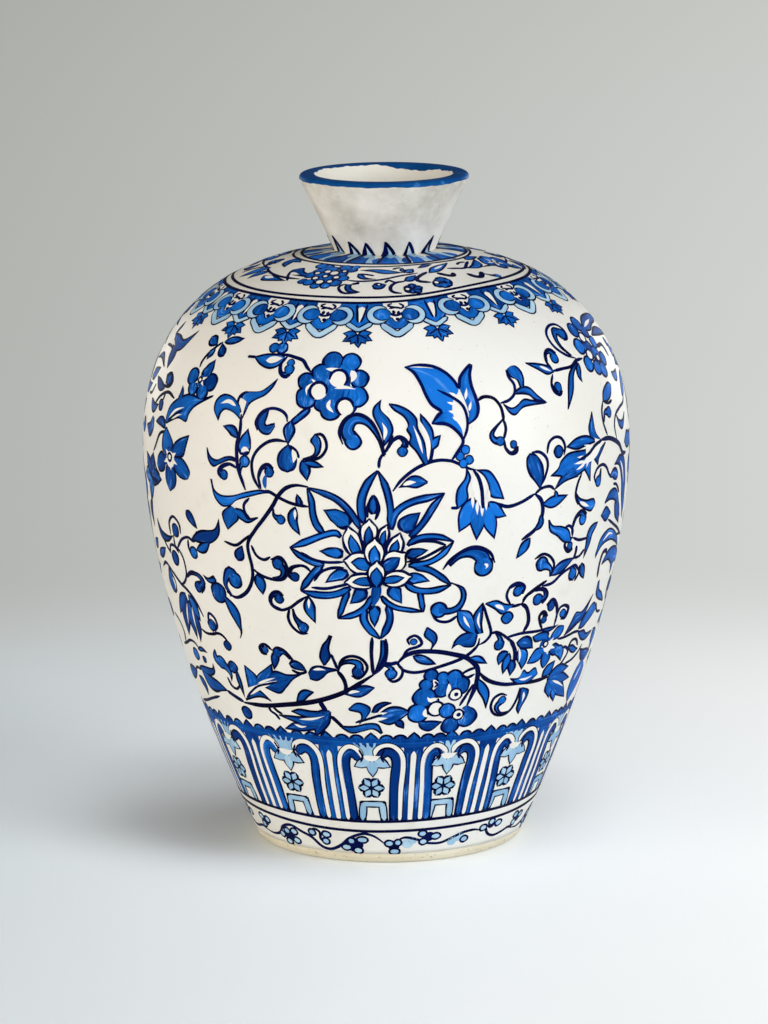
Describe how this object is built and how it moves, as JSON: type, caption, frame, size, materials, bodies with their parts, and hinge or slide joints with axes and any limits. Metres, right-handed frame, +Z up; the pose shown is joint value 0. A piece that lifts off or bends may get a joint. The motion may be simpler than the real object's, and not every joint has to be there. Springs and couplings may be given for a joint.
{
  "type": "pottery vase",
  "caption": "Round-shouldered talavera pottery vase with a flared neck and bare foot ring, tin-glazed and painted in cobalt scrolls, for standing flowers.",
  "frame": {"origin": "centre of the standing ring, on the table", "axes": "+Z up along the vase's axis of revolution, -Y towards the pictured side, +X to its right"},
  "size_m": [0.217, 0.217, 0.3],
  "materials": {
    "bare_clay": "unglazed buff earthenware, dry and slightly gritty",
    "slip": "fired luting slip, dry",
    "neck_clay": "thin matte white engobe, mottled grey",
    "cobalt_glaze": "brushed cobalt under a satin glaze",
    "tin_glaze": "cream-white tin glaze, satin to glossy",
    "liner_glaze": "thin cream glaze on the chamber's inside"
  },
  "bodies": {
    "root": {"foot_ring": "bare_clay", "floor_disc": "bare_clay", "base_slip_seam": "slip", "lower_wall": "bare_clay", "belly_slip_seam": "slip", "upper_wall": "bare_clay", "neck_slip_seam": "slip", "neck_collar": "neck_clay", "rim_glaze": "cobalt_glaze", "body_glaze": "tin_glaze", "liner_glaze": "liner_glaze"}
  },
  "joints": []
}
